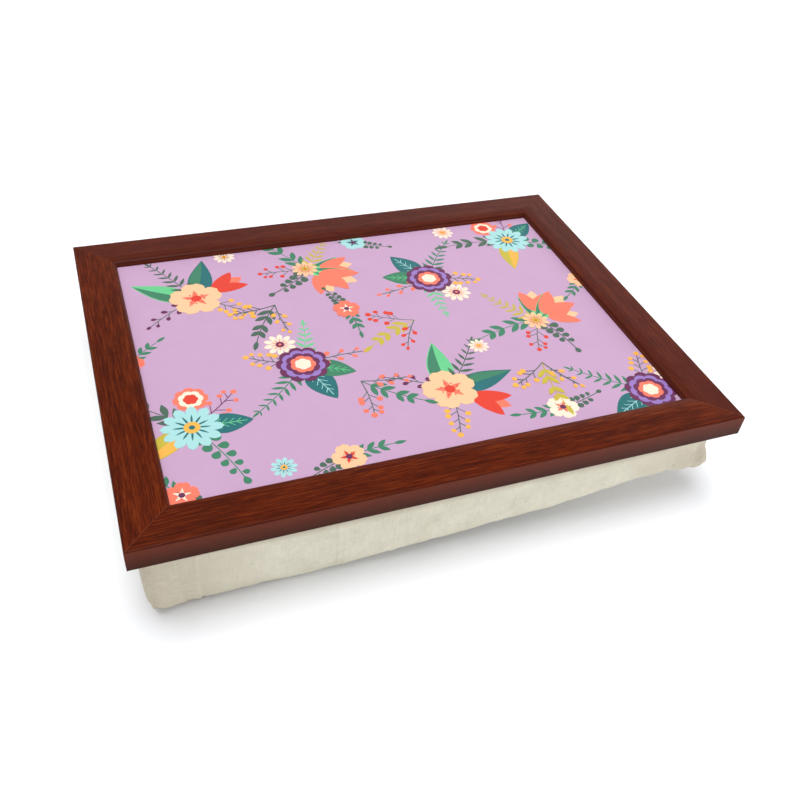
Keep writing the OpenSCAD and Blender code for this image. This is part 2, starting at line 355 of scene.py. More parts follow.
def pressed_fibre_group():
    """Short fibres or grains in board, paper or foam, for a vector in metres."""
    tree, take = new_group("Pressed fibre", [
        ("Base", "colour", (0.5, 0.5, 0.5, 1.0)),
        ("Fibre", "colour", (0.3, 0.3, 0.3, 1.0)),
        ("Scale", "value", 700.0),
    ], SURFACE)
    flakes = add(tree, "ShaderNodeTexNoise", {
        "Vector": take["Vector"],
        "Scale": take["Scale"],
        "Detail": 4.0,
        "Distortion": 1.4,
    }).outputs["Fac"]
    colour = mixed(tree, ranged(tree, flakes, 0.42, 0.66), take["Base"], take["Fibre"])
    roughness = ranged(tree, flakes, 0.3, 0.7, 0.95, 0.8)
    return give_out(tree, Color=colour, Roughness=roughness, Height=flakes)


WOOD_GRAIN = wood_grain_group()
MITRE_LINE = mitre_line_group()
STAIN_DEPTH = stain_depth_group()
SIDE_SHADE = side_shade_group()
PLAIN_WEAVE = plain_weave_group()
PRINTED_SHEET = printed_sheet_group()
PRESSED_FIBRE = pressed_fibre_group()


# Materials

def new_material(name, **surface):
    """A material with a Principled BSDF, whose plain values are set on its own sockets."""
    material = bpy.data.materials.new(name)
    material.use_nodes = True
    tree = material.node_tree
    shader = tree.nodes["Principled BSDF"]
    for socket, value in surface.items():
        shader.inputs[socket.replace("_", " ")].default_value = value
    return material, tree, shader


def finish_surface(tree, shader, look, relief, distance):
    """Feeds a look's colour, roughness and height into the shader. relief is the bump's strength."""
    feed(tree, shader.inputs["Base Color"], look["Color"])
    feed(tree, shader.inputs["Roughness"], look["Roughness"])
    bump = add(tree, "ShaderNodeBump", {
        "Height": look["Height"],
        "Strength": relief,
        "Distance": distance,
    })
    feed(tree, shader.inputs["Normal"], bump.outputs[0])


def here(tree):
    """The place on the piece, in metres."""
    return add(tree, "ShaderNodeTexCoord").outputs["Object"]


# Painted sheen: a greyer brown mixed into the rails that show more reflection
PAINTED_SHEEN = paint(74, 32, 26)
BARE_WOOD = paint(150, 92, 64)


def mahogany(name, scale, offset, sheen_share):
    """Varnished mahogany. The last argument is the share of a greyer tone mixed in as painted sheen.
    """
    material, tree, shader = new_material(name, Specular_IOR_Level=0.08)
    place = here(tree)
    grain = place_group(
        tree, WOOD_GRAIN,
        Vector=stretched(tree, place, scale, offset),
        Dark=paint(54, 11, 2),
        Middle=paint(88, 28, 5),
        Light=paint(118, 49, 16),
    )
    stain_and_sheen = place_group(tree, STAIN_DEPTH, Vector=place, Color=grain["Color"])["Color"]
    # Painted sheen: part of the stained colour gives way to the greyer tone
    stain_and_sheen = mixed(tree, sheen_share, stain_and_sheen, PAINTED_SHEEN)
    line = place_group(tree, MITRE_LINE, Vector=place, Offset=(TRAY_W - TRAY_D) / 2)["Mask"]
    colour = mixed(tree, line, stain_and_sheen, BARE_WOOD)
    # Painted shade: faces that turn away from up take the darker side colours
    facing = add(tree, "ShaderNodeTexCoord").outputs["Normal"]
    colour = place_group(tree, SIDE_SHADE, Vector=place, Facing=facing, Color=colour)["Color"]
    look = {"Color": colour, "Roughness": grain["Roughness"], "Height": grain["Height"]}
    finish_surface(tree, shader, look, 0.22, 0.00012)
    return material


# Painted shade on the calico, darker at the end corners and along its top under the frame: from where
# to where it comes in towards the tray's ends, its front and back, and the frame, in metres, and how
# strong it gets at the corners and on top
SHADED_X = (0.12, 0.205)
SHADED_Y = (0.09, 0.15)
SHADED_Z = (COVER_TOP - 0.014, COVER_TOP - 0.0085)
CORNER_SHADE = 0.78
UNDER_RAIL_SHADE = 0.75


def calico(name):
    """Unbleached cotton. The piece's attribute "cloth" says where each point lies on it."""
    material, tree, shader = new_material(
        name, Specular_IOR_Level=0.15, Sheen_Weight=0.12, Sheen_Roughness=0.5,
    )
    place = add(tree, "ShaderNodeAttribute", attribute_name="cloth").outputs["Vector"]
    spot = parts(tree, here(tree))
    # Painted shade: darker towards the end corners, where the cloth turns from the light, and along
    # its top under the frame's overhang
    endwise = ranged(tree, maths(tree, "ABSOLUTE", spot[0]), *SHADED_X, 0.0, CORNER_SHADE)
    corners = times(tree, endwise, ranged(tree, maths(tree, "ABSOLUTE", spot[1]), *SHADED_Y))
    under_rail = ranged(tree, spot[2], *SHADED_Z, 0.0, UNDER_RAIL_SHADE)
    painted_shade = maths(tree, "MAXIMUM", corners, under_rail)
    cloth = place_group(tree, PLAIN_WEAVE, Vector=place, Handling=painted_shade)
    finish_surface(tree, shader, cloth, 0.35, 0.00012)
    return material


def printed(name, ink):
    material, tree, shader = new_material(name, Specular_IOR_Level=0.3)
    sheet = place_group(tree, PRINTED_SHEET, Vector=here(tree), Ink=ink)
    finish_surface(tree, shader, sheet, 0.05, 0.00002)
    return material


def fibrous(name, base, fibre, scale):
    material, tree, shader = new_material(name, Specular_IOR_Level=0.2)
    fibres = place_group(tree, PRESSED_FIBRE, Vector=here(tree), Base=base, Fibre=fibre, Scale=scale)
    finish_surface(tree, shader, fibres, 0.3, 0.0002)
    return material


def drawn_steel(name):
    """Bright drawn wire and strip: fine scratches along the metal."""
    material, tree, shader = new_material(name, Metallic=1.0)
    scratches = cloudy(tree, stretched(tree, here(tree), (400.0, 400.0, 9000.0)), 1.0, 3.0, 0.6)
    tarnish = cloudy(tree, here(tree), 220.0, 3.0)
    colour = mixed(tree, ranged(tree, tarnish, 0.35, 0.75), paint(196, 197, 200), paint(150, 149, 150))
    roughness = ranged(tree, scratches, 0.3, 0.7, 0.26, 0.42)
    look = {"Color": colour, "Roughness": roughness, "Height": scratches}
    finish_surface(tree, shader, look, 0.25, 0.00003)
    return material


def paint_node(node, material):
    """Gives a carried-over CAD node its material."""
    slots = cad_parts[node].data.materials
    slots.clear()
    slots.append(material)


# Grain along X and along Y: lengths of 20 mm with it and millimetres across it
ACROSS = 1 / MM
ALONG = ACROSS / 20
LENGTHWISE = (ALONG, ACROSS, ACROSS)
CROSSWISE = (ACROSS, ALONG, ACROSS)

# The last column is the share of painted sheen, a greyer tone, on the back and right rails
for side, grain, offset, sheen_share in (
    ("front", LENGTHWISE, (0.0, 0.0, 0.0), 0.0),
    ("back", LENGTHWISE, (17.0, 40.0, 9.0), 0.45),
    ("left", CROSSWISE, (60.0, 5.0, 21.0), 0.0),
    ("right", CROSSWISE, (-35.0, 29.0, 47.0), 0.45),
):
    paint_node(side + "_rail", mahogany("mahogany_" + side, grain, offset, sheen_share))
paint_node("print_laminate", printed("print_ground", paint(195, 159, 192)))
paint_node("tray_board", fibrous("fibreboard", paint(176, 140, 98), paint(140, 104, 66), 900.0))
paint_node("backing_sheet", fibrous("kraft_paper", paint(200, 182, 150), paint(174, 152, 118), 500.0))
STEEL = drawn_steel("drawn_steel")
for corner in ("front_left", "front_right", "back_right", "back_left"):
    paint_node("v_nails_" + corner, STEEL)
for side in SIDES:
    paint_node("panel_points_" + side, STEEL)
    paint_node("hem_staples_" + side, STEEL)


# Objects and meshes

def new_object(name, data):
    made = bpy.data.objects.new(name, data)
    bpy.context.scene.collection.objects.link(made)
    return made


def new_piece(name, points, faces, material, smooth=True):
    """A piece from points and faces, on the tray's one body, with its material and slot."""
    mesh = bpy.data.meshes.new(name)
    mesh.from_pydata([tuple(p) for p in points], [], faces)
    mesh.validate()
    mesh.materials.append(material)
    mesh.polygons.foreach_set("use_smooth", [smooth] * len(mesh.polygons))
    mesh.update()
    piece = new_object(name, mesh)
    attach(piece, "root")
    return piece


def ring_faces(upper, lower, count):
    """Quads between two rings of points that run anticlockwise seen from above."""
    return [
        (upper + i, lower + i, lower + (i + 1) % count, upper + (i + 1) % count)
        for i in range(count)
    ]


def shell_faces(loops):
    """Faces of a closed shell through loops of points, with one face across each end."""
    count = len(loops[0])
    faces = []
    for j in range(len(loops) - 1):
        faces += ring_faces((j + 1) * count, j * count, count)
    last = (len(loops) - 1) * count
    faces.append(tuple(reversed(range(count))))
    faces.append(tuple(last + i for i in range(count)))
    return faces


# Cushion

STATION_GAP = 0.003
LEAST_GAP = 0.0004
END_SHARE = 0.004
EDGE_RIPPLE = 0.0008
CORNER_STEPS = 22
SIDE_ROWS = 30
UNDER_ROWS = 10

# Pressed creases down each side: place along the side from its middle, height, half width,
# and how far it leans on its way down, in millimetres. A negative height is a furrow.
CREASES = {
    "front": [
        (-173.6, 1.15, 0.95, -7), (-170.3, -0.5, 2.0, -7), (-193, 0.5, 3.0, 0), (-186, -0.5, 3.0, -3),
        (-133, -0.3, 6.0, 3), (-104, 0.3, 1.2, 2), (-83.5, 0.8, 1.0, 4), (-79, 0.6, 1.1, 4),
        (-45, 0.55, 1.1, 3), (-41.5, 0.35, 1.2, 3), (-35.5, 0.4, 1.2, 3), (-12, -0.5, 5.0, -3),
        (38, 0.45, 3.2, -4), (84, -0.5, 5.0, 3), (121, 0.5, 2.6, 2), (160, 0.6, 5.0, -7),
        (176, -0.6, 5.0, -6), (188, 0.3, 3.5, 0), (197, -0.5, 3.5, 0),
    ],
    "right": [
        (-118, 0.8, 3.0, 2), (-92, -0.6, 6.0, -3), (-41, 0.7, 2.4, 0), (-8, 0.5, 1.6, 2),
        (33, -0.6, 7.0, 5), (66, 0.7, 2.2, -2), (104, 0.8, 4.0, 4), (126, -0.5, 3.0, 0),
    ],
    "back": [
        (-166, 0.8, 3.0, 2), (-124, 0.6, 1.6, 0), (-88, -0.6, 6.0, 4), (-47, 0.7, 2.2, -2),
        (2, 0.7, 1.4, 0), (9, 0.5, 1.4, 0), (61, -0.6, 7.0, -5), (98, 0.7, 2.4, 2),
        (139, 0.6, 1.8, 0), (171, 0.8, 4.0, -3),
    ],
    "left": [
        (-126, 0.8, 4.0, 3), (-95, -0.5, 5.0, 0), (-58, 0.6, 1.5, 0), (-14, 0.7, 2.2, -3),
        (27, -0.6, 6.0, 4), (71, 0.6, 1.8, 0), (109, 0.8, 3.0, -2),
    ],
}
# Stations on either side of a corner seam that it puckers
SEAM_REACH = 7


def side_length(turn):
    return TRAY_D if turn % 2 else TRAY_W


def turned(x, y, turns):
    for _ in range(turns):
        x, y = -y, x
    return x, y


def side_shares(turn):
    """Shares of a side at which the cover has stations: evenly, and closer at its creases."""
    run = side_length(turn) - 2 * COVER_INSET
    shares = [i / round(run / STATION_GAP) for i in range(round(run / STATION_GAP) + 1)]
    for place, _, half, _ in CREASES[SIDES[turn]]:
        for step in (-1.2, -0.6, 0, 0.6, 1.2):
            share = 0.5 + (place + step * min(half, 2.0)) * MM / run
            if END_SHARE < share < 1 - END_SHARE:
                shares.append(share)
    shares.sort()
    kept = [shares[0]]
    for share in shares[1:]:
        if share - kept[-1] > LEAST_GAP / run:
            kept.append(share)
    kept[-1] = 1.0
    return kept


SHARES = [side_shares(turn) for turn in range(4)]


def plan_ring(inset, corner, draw):
    """A rounded rectangle in plan, its sides drawn in between the corners.

    Stations of rings at any inset stand in line, apart from those near the corners.
    """
    ring = []
    for turn in range(4):
        half = side_length(turn) / 2 - inset
        reach = side_length(turn + 1) / 2 - inset
        full = side_length(turn) / 2 - COVER_INSET
        crowding = 1 - (half - corner) / full
        for t in SHARES[turn]:
            s = 2 * t - 1
            x = full * s * (1 - crowding * abs(s) ** 5)
            ring.append(turned(x, draw * (1 - s * s) - reach, turn))
        for i in range(1, CORNER_STEPS):
            a = math.pi / 2 * (i / CORNER_STEPS - 1)
            x = half - corner + corner * math.cos(a)
            y = corner * (1 + math.sin(a)) - reach
            ring.append(turned(x, y, turn))
    return np.array(ring)


def station_facts():
    """For each station: its side, its place along that side, and its share of a corner."""
    facts = []
    for turn in range(4):
        run = side_length(turn) - 2 * COVER_INSET
        facts += [(turn, (t - 0.5) * run / MM, -1.0) for t in SHARES[turn]]
        facts += [(turn, run / 2 / MM, i / CORNER_STEPS) for i in range(1, CORNER_STEPS)]
    return facts


EDGE_RING = plan_ring(COVER_INSET + SIDE_IN, CORNER_LOW, SIDE_DRAW)
STATIONS = len(EDGE_RING)
FACTS = station_facts()


def soft_noise(points, scale):
    """Smooth noise from -1 to 1 at each point, its axes scaled, in waves per metre."""
    flat = points.reshape(-1, 3) * np.array(scale)
    found = [noise.noise(Vector(p)) for p in flat]
    return np.array(found).reshape(points.shape[:-1])


def edge_facts():
    """Height of the cushion's lower edge and squareness of its section at each station."""
    thin = np.maximum(0, (EDGE_RING[:, 0] / TRAY_W + 0.5 - LIFT_FROM_SHARE) / (1 - LIFT_FROM_SHARE))
    back = EDGE_RING[:, 1] / TRAY_D + 0.5
    lift = RIGHT_LIFT * thin ** LIFT_POWER + BACK_LIFT * back * (1 - thin)
    return lift, FULL_POWER + (THIN_POWER - FULL_POWER) * thin


EDGE_LIFT, EDGE_POWER = edge_facts()


def section_angle(t):
    """Spaces the rows of a superellipse evenly down the side."""
    bias = EDGE_POWER / 2
    return math.pi / 2 * t ** bias / (t ** bias + (1 - t) ** bias)


def form_rows(depth, top):
    """Rows of the cushion's form at a depth below its surface: down the side, then under it."""
    upper = plan_ring(COVER_INSET + depth, CORNER_TOP - depth, 0)
    rows = []
    for j in range(SIDE_ROWS + 1):
        a = section_angle(j / SIDE_ROWS)
        inwards = 1 - np.abs(np.cos(a)) ** (2 / EDGE_POWER)
        down = np.abs(np.sin(a)) ** (2 / EDGE_POWER)
        plan = upper + (EDGE_RING - upper) * inwards[:, None]
        rows.append(np.column_stack([plan, top + (EDGE_LIFT + depth - top) * down]))
    for j in range(1, UNDER_ROWS + 1):
        v = j / UNDER_ROWS
        plan = EDGE_RING * (1 - (1 - FLAT_SHARE) * v)
        rise = np.maximum(0, (EDGE_LIFT + STAND_PRESS) * (1 - v) ** 2 - STAND_PRESS)
        rows.append(np.column_stack([plan, depth + rise]))
    return np.array(rows)


def outward(rows):
    """The outward normal at each point of the rows."""
    along = np.roll(rows, -1, axis=1) - np.roll(rows, 1, axis=1)
    down = np.gradient(rows, axis=0)
    normal = np.cross(down, along)
    return normal / np.maximum(np.linalg.norm(normal, axis=2, keepdims=True), 1e-12)


def crease_lift(turn, place, t):
    """Height of the pressed creases at a place along a side, a share t of the way down it."""
    lift = 0.0
    for at, height, half, lean in CREASES[SIDES[turn]]:
        away = (place - at - lean * t) / half
        if abs(away) < 3:
            lift += height * math.exp(-away * away)
    return lift


def seam_lift(turn, seam, row):
    """Height of the corner seam, its furrows and its puckers, so many stations away from it."""
    if seam >= SEAM_REACH:
        return 0.0
    ridge = 0.75 * math.exp(-(seam / 1.1) ** 2) - 0.35 * math.exp(-((seam - 3) / 1.5) ** 2)
    return ridge + 0.25 * math.sin(row * 1.9 + turn) * math.exp(-(seam / 4) ** 2)


def crease_heights():
    """Height of the pressed creases and corner seams over the form, in metres."""
    rows = SIDE_ROWS + UNDER_ROWS + 1
    heights = np.zeros((rows, STATIONS))
    for j in range(rows):
        t = min(1.0, j / SIDE_ROWS)
        held = math.sin(math.pi * min(1.0, 0.12 + t) / 2) * max(0.0, 1 - max(0, j - SIDE_ROWS) / 3)
        for i, (turn, place, corner) in enumerate(FACTS):
            seam = abs(corner - 0.5) * CORNER_STEPS if corner > 0 else SEAM_REACH
            lift = crease_lift(turn, place, t) + seam_lift(turn, seam, j)
            heights[j, i] = lift * held * MM
    return heights


# Soft unevenness: its waves per metre along X, Y and Z, where the noise starts, and its height
# in millimetres, for broad waves, folds and crumpling
UNEVENNESS = (
    ((13, 13, 9), 0.0, 1.3),
    ((48, 48, 9), 0.37, 0.55),
    ((120, 120, 70), 0.11, 0.2),
)


def soft_heights(rows):
    """Height of the cover's soft unevenness over the form, in metres."""
    uneven = sum(height * soft_noise(rows + start, waves) for waves, start, height in UNEVENNESS)
    t = np.minimum(1.0, np.arange(len(rows)) / SIDE_ROWS)[:, None]
    under = np.maximum(0, np.arange(len(rows)) - SIDE_ROWS)[:, None] / UNDER_ROWS
    held = np.sin(np.pi / 2 * np.minimum(1, t * 1.8)) * (1 - under) ** 1.5
    return uneven * held * MM


def depth_shares(rows):
    """How far down the side each point lies, and how much of its lift is left underneath."""
    top = rows[0, :, 2]
    down = (top - rows[:, :, 2]) / (top - rows[SIDE_ROWS, :, 2])
    under = np.maximum(0, np.arange(len(rows)) - SIDE_ROWS)[:, None] / UNDER_ROWS
    return np.clip(down, 0, 1), (1 - under) ** 2


def lowered_edges(rows):
    """Lets the lower edge rise and fall a little along the cushion."""
    ripple = soft_noise(rows, (26, 26, 0)) + 0.4 * soft_noise(rows + 0.7, (70, 70, 0))
    down, left = depth_shares(rows)
    return ripple * down ** 2 * left * EDGE_RIPPLE


# Places where the filling has settled: the point in plan and how far it reaches, then how far
# the cloth stands out low down, draws in near the frame and sinks at its edge, in millimetres
SETTLED = [
    ((200, -146), 25, 1.1, 4.6, 0.0),
    ((204, -142), 18, 0.0, 0.0, 1.3),
    ((202, -150), 10, 1.0, 0.0, 0.6),
    ((143, -152), 42, 0.0, 0.0, -5.2),
    ((10, -152), 150, 0.0, 0.0, -0.9),
    ((-40, -152), 30, 0.0, 0.0, -2.9),
    ((-108, -152), 24, 0.0, 0.0, 1.8),
    ((-201, -153), 13, 2.4, -1.0, 1.2),
    ((-200, -152), 8, 1.2, 0.0, 0.8),
]
# Shares of the way down at which the cloth stands out and draws in, and how far these spread
LOW_AT = 0.88
LOW_SPREAD = 0.22
WAIST_AT = 0.42
WAIST_SPREAD = 0.27


def settled(rows):
    """How far the settled places stand out from the form, and how far they sink, in metres."""
    down, left = depth_shares(rows)
    low = np.exp(-((down - LOW_AT) / LOW_SPREAD) ** 2) * left
    high = np.exp(-((down - WAIST_AT) / WAIST_SPREAD) ** 2)
    out = np.zeros(rows.shape[:2])
    sunk = np.zeros(rows.shape[:2])
    for (x, y), reach, stands, draws, sinks in SETTLED:
        away = np.hypot(rows[:, :, 0] - x * MM, rows[:, :, 1] - y * MM) / (reach * MM)
        near = np.exp(-away ** 2)
        out += near * (stands * low - draws * high)
        sunk += near * sinks * down ** 2 * left
    return out * MM, sunk * MM


OUTER_FORM = form_rows(0, COVER_TOP)
STANDS, SINKS = settled(OUTER_FORM)
HEIGHTS = soft_heights(OUTER_FORM) + crease_heights() + STANDS
SWELL = outward(OUTER_FORM) * HEIGHTS[:, :, None]
SWELL[:, :, 2] += lowered_edges(OUTER_FORM) - SINKS


def shaped_rows(depth, top):
    rows = form_rows(depth, top) + SWELL
    rows[:, :, 2] = np.maximum(rows[:, :, 2], depth)
    return rows


def calico_places(piece, rows_of_vertex, stations_of_vertex):
    """Writes where each corner of a face lies on the cloth, in millimetres."""
    mesh = piece.data
    places = mesh.attributes.new("cloth", "FLOAT_VECTOR", "CORNER")
    girth = np.concatenate([[0], np.cumsum(np.linalg.norm(
        np.roll(EDGE_RING, -1, axis=0) - EDGE_RING, axis=1))]) / MM
    values = []
    for face in mesh.polygons:
        vertices = list(face.vertices)
        rows = [rows_of_vertex[v] for v in vertices]
        stations = [stations_of_vertex[v] for v in vertices]
        wraps = max(stations) - min(stations) > STATIONS / 2
        for vertex, station in zip(vertices, stations):
            x, y, z = mesh.vertices[vertex].co
            if min(rows) >= SIDE_ROWS:
                values += [x / MM, y / MM, 0.0]
            else:
                round_again = STATIONS if wraps and station < STATIONS / 2 else 0
                values += [float(girth[station + round_again]), -z / MM, 0.0]
    places.data.foreach_set("vector", values)


# Rings of the hem: over its top from the fold, round its inner edge and back under it, each
# with its inset from the tray's outline
HEM_RINGS = (
    (0.0083, "top"), (0.0140, "top"), (0.0196, "top"), (0.0201, "middle"),
    (0.0196, "low"), (0.0140, "low"), (0.0088, "low"),
)
HEM_CORNER = 0.0067
FOLD_DROP = 0.0003
INNER_DROP = 0.0004


def cover_piece():
    """The calico cover with its hem turned in on top, as one closed shell of cloth."""
    outer = shaped_rows(0, COVER_TOP)
    inner = shaped_rows(CLOTH_T, COVER_TOP - CLOTH_T)
    hem_top = HEM[1][2] - CLOTH_ROOM
    hem_low = HEM[0][2] + CLOTH_ROOM
    heights = {"top": hem_top, "middle": (hem_top + hem_low) / 2, "low": hem_low}
    hem_rows = [
        np.column_stack([plan_ring(inset, HEM_CORNER, 0), np.full(STATIONS, heights[level])])
        for inset, level in HEM_RINGS
    ]
    outer[0, :, 2] = hem_top - FOLD_DROP
    inner[0, :, 2] = hem_low - INNER_DROP
    loops = [*outer[::-1], *hem_rows, *inner]
    points = np.concatenate(loops)
    piece = new_piece("calico_cover", points, shell_faces(loops), calico("calico"))
    wall = list(range(len(outer)))[::-1] + [0] * len(hem_rows) + list(range(len(inner)))
    rows_of_vertex = [row for row in wall for _ in range(STATIONS)]
    stations_of_vertex = [i for _ in wall for i in range(STATIONS)]
    calico_places(piece, rows_of_vertex, stations_of_vertex)
    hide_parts("cushion_cover", "cushion_hem")


# Tops of the filling and the lining. They take every third station of the cover's rings
EVERY_THIRD = 3
CROWN_SHARES = (0.9, 0.8, 0.65, 0.5, 0.35, 0.2, 0.07)
FILL_SHOULDER = (0.89, 0.87, 1)
FILL_CROWN = 0.0028
LINING_CROWN = 0.0024
LINING_INSET = 0.0081
LINING_CORNER = 0.0069
LINING_BORDER = 0.016
LINING_UNEVENNESS = 0.0002


def crowned_rows(edge, crown):
    """Rings from an edge ring towards the middle, rising to a crown."""
    rows = []
    for share in CROWN_SHARES:
        ring = edge * np.array([share, share, 1])
        ring[:, 2] = edge[:, 2] + crown * math.cos(math.pi / 2 * share) ** 0.8
        rows.append(ring)
    return rows


def filling_piece():
    """The bead filling, a little inside the cover, its top crowned under the lining."""
    rows = shaped_rows(FILL_DEPTH, FILL_TOP)[:, ::EVERY_THIRD]
    rows[:, :, 2] = np.minimum(rows[:, :, 2], FILL_TOP)
    top = rows[0] * np.array(FILL_SHOULDER)
    loops = [*rows[::-1], top, *crowned_rows(top, FILL_CROWN)]
    material = fibrous("foamed_beads", paint(246, 246, 243), paint(228, 228, 224), 260.0)
    points = np.concatenate(loops)
    piece = new_piece("bead_filling", points, shell_faces(loops), material)
    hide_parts("bead_fill")


def lining_piece():
    """The lining that closes the cushion on top, pushed up a little by the beads."""
    outline = plan_ring(LINING_INSET, LINING_CORNER, 0)[::EVERY_THIRD]
    upper_edge = np.column_stack([outline, np.full(len(outline), LINING[1][2] - CLOTH_ROOM)])
    flat_x = 1 - LINING_BORDER / (TRAY_W / 2)
    flat_y = 1 - LINING_BORDER / (TRAY_D / 2)
    inner_edge = upper_edge * np.array([flat_x, flat_y, 1])
    upper = np.array([upper_edge, inner_edge, *crowned_rows(inner_edge, LINING_CROWN)])
    upper[2:, :, 2] += LINING_UNEVENNESS * soft_noise(upper[2:], (60, 60, 0))
    lower = upper - np.array([0, 0, LINING[1][2] - LINING[0][2] - 2 * CLOTH_ROOM])
    loops = [*lower[::-1], *upper]
    points = np.concatenate(loops)
    cloth = calico("lining_cloth")
    piece = new_piece("calico_lining", points, shell_faces(loops), cloth)
    places = piece.data.attributes.new("cloth", "FLOAT_VECTOR", "POINT")
    places.data.foreach_set("vector", (points / MM).ravel())
    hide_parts("cushion_lining")


cover_piece()
filling_piece()
lining_piece()


# Print: flowers and leaves of this file's own design, in millimetres on the panel

INKS = {
    "peach": paint(247, 196, 152),
    "ivory": paint(250, 228, 206),
    "coral": paint(249, 122, 98),
    "red": paint(222, 64, 46),
    "mint": paint(104, 200, 138),
    "green": paint(62, 128, 98),
    "sage": paint(74, 102, 86),
    "teal": paint(36, 108, 112),
    "plum": paint(106, 44, 86),
    "olive": paint(196, 178, 62),
    "amber": paint(246, 178, 76),
    "aqua": paint(166, 216, 216),
    "lavender": paint(150, 120, 190),
}
# Room at the frame, and how far the ink reaches below and above the panel's face, with the
# height that each layer adds
PRINT_EDGE = 0.05
INK_FOOT = 0.05
INK_FIRST = 0.02
INK_STEP = 0.012

marks = []


def petal(length, width, fullest, blunt, steps=9):
    """A petal or leaf from its foot along +X. fullest is the share at which it is widest."""
    shift = math.log(0.5) / math.log(fullest)
    edge = []
    for i in range(steps + 1):
        t = i / steps
        swell = max(0.0, math.sin(math.pi * t ** shift)) ** blunt
        edge.append((length * t, width / 2 * swell))
    return edge + [(x, -y) for x, y in reversed(edge[1:-1])]


def half_leaf(length, width, fullest):
    """One side of a leaf, from its edge to its midrib."""
    shift = math.log(0.5) / math.log(fullest)
    edge = [(length * i / 10, width / 2 * max(0.0, math.sin(math.pi * (i / 10) ** shift)))
            for i in range(11)]
    return edge + [(length * i / 10, 0) for i in range(9, 0, -1)]


def disc(radius, steps=20):
    return [(radius * math.cos(math.tau * i / steps), radius * math.sin(math.tau * i / steps))
            for i in range(steps)]


def scalloped(radius, lobes, depth=0.14, steps=7):
    """A round outline with lobes, like the rim of a folk rose."""
    outline = []
    for i in range(lobes * steps):
        a = math.tau * i / (lobes * steps)
        swell = abs(math.sin(lobes * a / 2)) ** 0.6
        r = radius * (1 - depth + depth * swell)
        outline.append((r * math.cos(a), r * math.sin(a)))
    return outline


def bowed(outline, bow, length):
    """Bends an outline sideways towards its far end."""
    return [(x, y + bow * (x / length) ** 2) for x, y in outline]


def stamp(ink, outline, at, turn=0.0):
    """Adds one flat shape of ink to the print."""
    marks.append((ink, [beyond(at, turn, x, y) for x, y in outline]))


def beyond(at, turn, ahead, aside=0.0):
    """The point that lies ahead and to the left of a place, facing the way it is turned."""
    c = math.cos(math.radians(turn))
    s = math.sin(math.radians(turn))
    return (at[0] + ahead * c - aside * s, at[1] + ahead * s + aside * c)


def stem(ink, at, turn, length, bow, width=0.6, steps=12):
    """A thin stem that bends by bow. Gives back its points and the way it faces at each."""
    line = [(length * i / steps, bow * (i / steps) ** 2) for i in range(steps + 1)]
    left = [(x, y + width / 2) for x, y in line]
    right = [(x, y - width / 2) for x, y in reversed(line)]
    stamp(ink, left + right, at, turn)
    places = []
    for i, (x, y) in enumerate(line):
        slope = math.degrees(math.atan2(2 * bow * i / steps, length))
        places.append((beyond(at, turn, x, y), turn + slope))
    return places


def daisy(at, size, outer, inner, middle, petals):
    """A daisy of slim petals with an inner ring and a round middle."""
    slim = petal(size, size * 0.36, 0.72, 0.55)
    line = petal(size * 0.6, size * 0.07, 0.6, 1.0)
    for ink, outline in ((outer, slim), (inner, line)):
        for i in range(petals):
            stamp(ink, outline, at, 360 * i / petals)
    stamp(middle, disc(size * 0.26), at)
    stamp(inner, disc(size * 0.1, 12), at)


def cosmos(at, size, outer, inner, middle, turn=0.0):
    """A flower of five broad notched petals."""
    for i in range(5):
        a = turn + 72 * i
        for lean in (-11, 11):
            stamp(outer, petal(size, size * 0.62, 0.7, 0.55), at, a + lean)
    for i in range(5):
        stamp(inner, petal(size * 0.55, size * 0.2, 0.35, 1.1), at, turn + 72 * i)
    stamp(middle, disc(size * 0.19), at)
    for i in range(8):
        stamp(middle, disc(size * 0.035, 8), beyond(at, turn + 20 + 45 * i, size * 0.31))


def folk_rose(at, size, rims, lobes):
    """Rounds of scalloped ink, one on the other, from the rim to the middle."""
    for i, ink in enumerate(rims):
        share = 1 - i / len(rims) * 0.86
        stamp(ink, scalloped(size * share, max(5, lobes - i)), at, 17 * i)


def tulip(at, turn, size, outer, inner):
    """A closed cup of three petals."""
    foot = beyond(at, turn, -size * 0.05)
    stamp(inner, petal(size * 1.02, size * 0.44, 0.5, 0.75), foot, turn)
    for side in (1, -1):
        cup = bowed(petal(size, size * 0.42, 0.42, 0.7), side * size * 0.16, size)
        stamp(outer, cup, foot, turn + side * 13)


def blade(at, turn, length, width, dark, light, bow=0.0):
    """A long leaf in two tones."""
    stamp(dark, bowed(petal(length, width, 0.42, 1.0, 14), bow, length), at, turn)
    stamp(light, bowed(half_leaf(length * 0.97, width * 0.92, 0.42), bow, length), at, turn)


def broad_leaf(at, turn, length, width, ink, rib):
    """A broad leaf with a pale midrib and side veins."""
    stamp(ink, petal(length, width, 0.38, 0.85, 12), at, turn)
    stem(rib, at, turn, length * 0.86, 0, 0.5, 3)
    for i in range(1, 5):
        foot = beyond(at, turn, length * 0.16 * i)
        for lean in (42, -42):
            stem(rib, foot, turn + lean, width * (0.42 - 0.05 * i), 0, 0.4, 2)


def frond(at, turn, length, bow, ink, leaflet, pairs=8):
    """A fern: narrow leaflets in pairs that shorten towards the tip."""
    places = stem(ink, at, turn, length, bow, steps=pairs * 2)
    for i in range(pairs):
        place, facing = places[i * 2 + 2]
        size = leaflet * (1 - 0.72 * i / pairs)
        for lean in (52, -52):
            stamp(ink, petal(size, size * 0.26, 0.45, 0.9, 6), place, facing + lean)
    stamp(ink, petal(leaflet * 0.6, 1.6, 0.5, 0.9, 6), *places[-1])


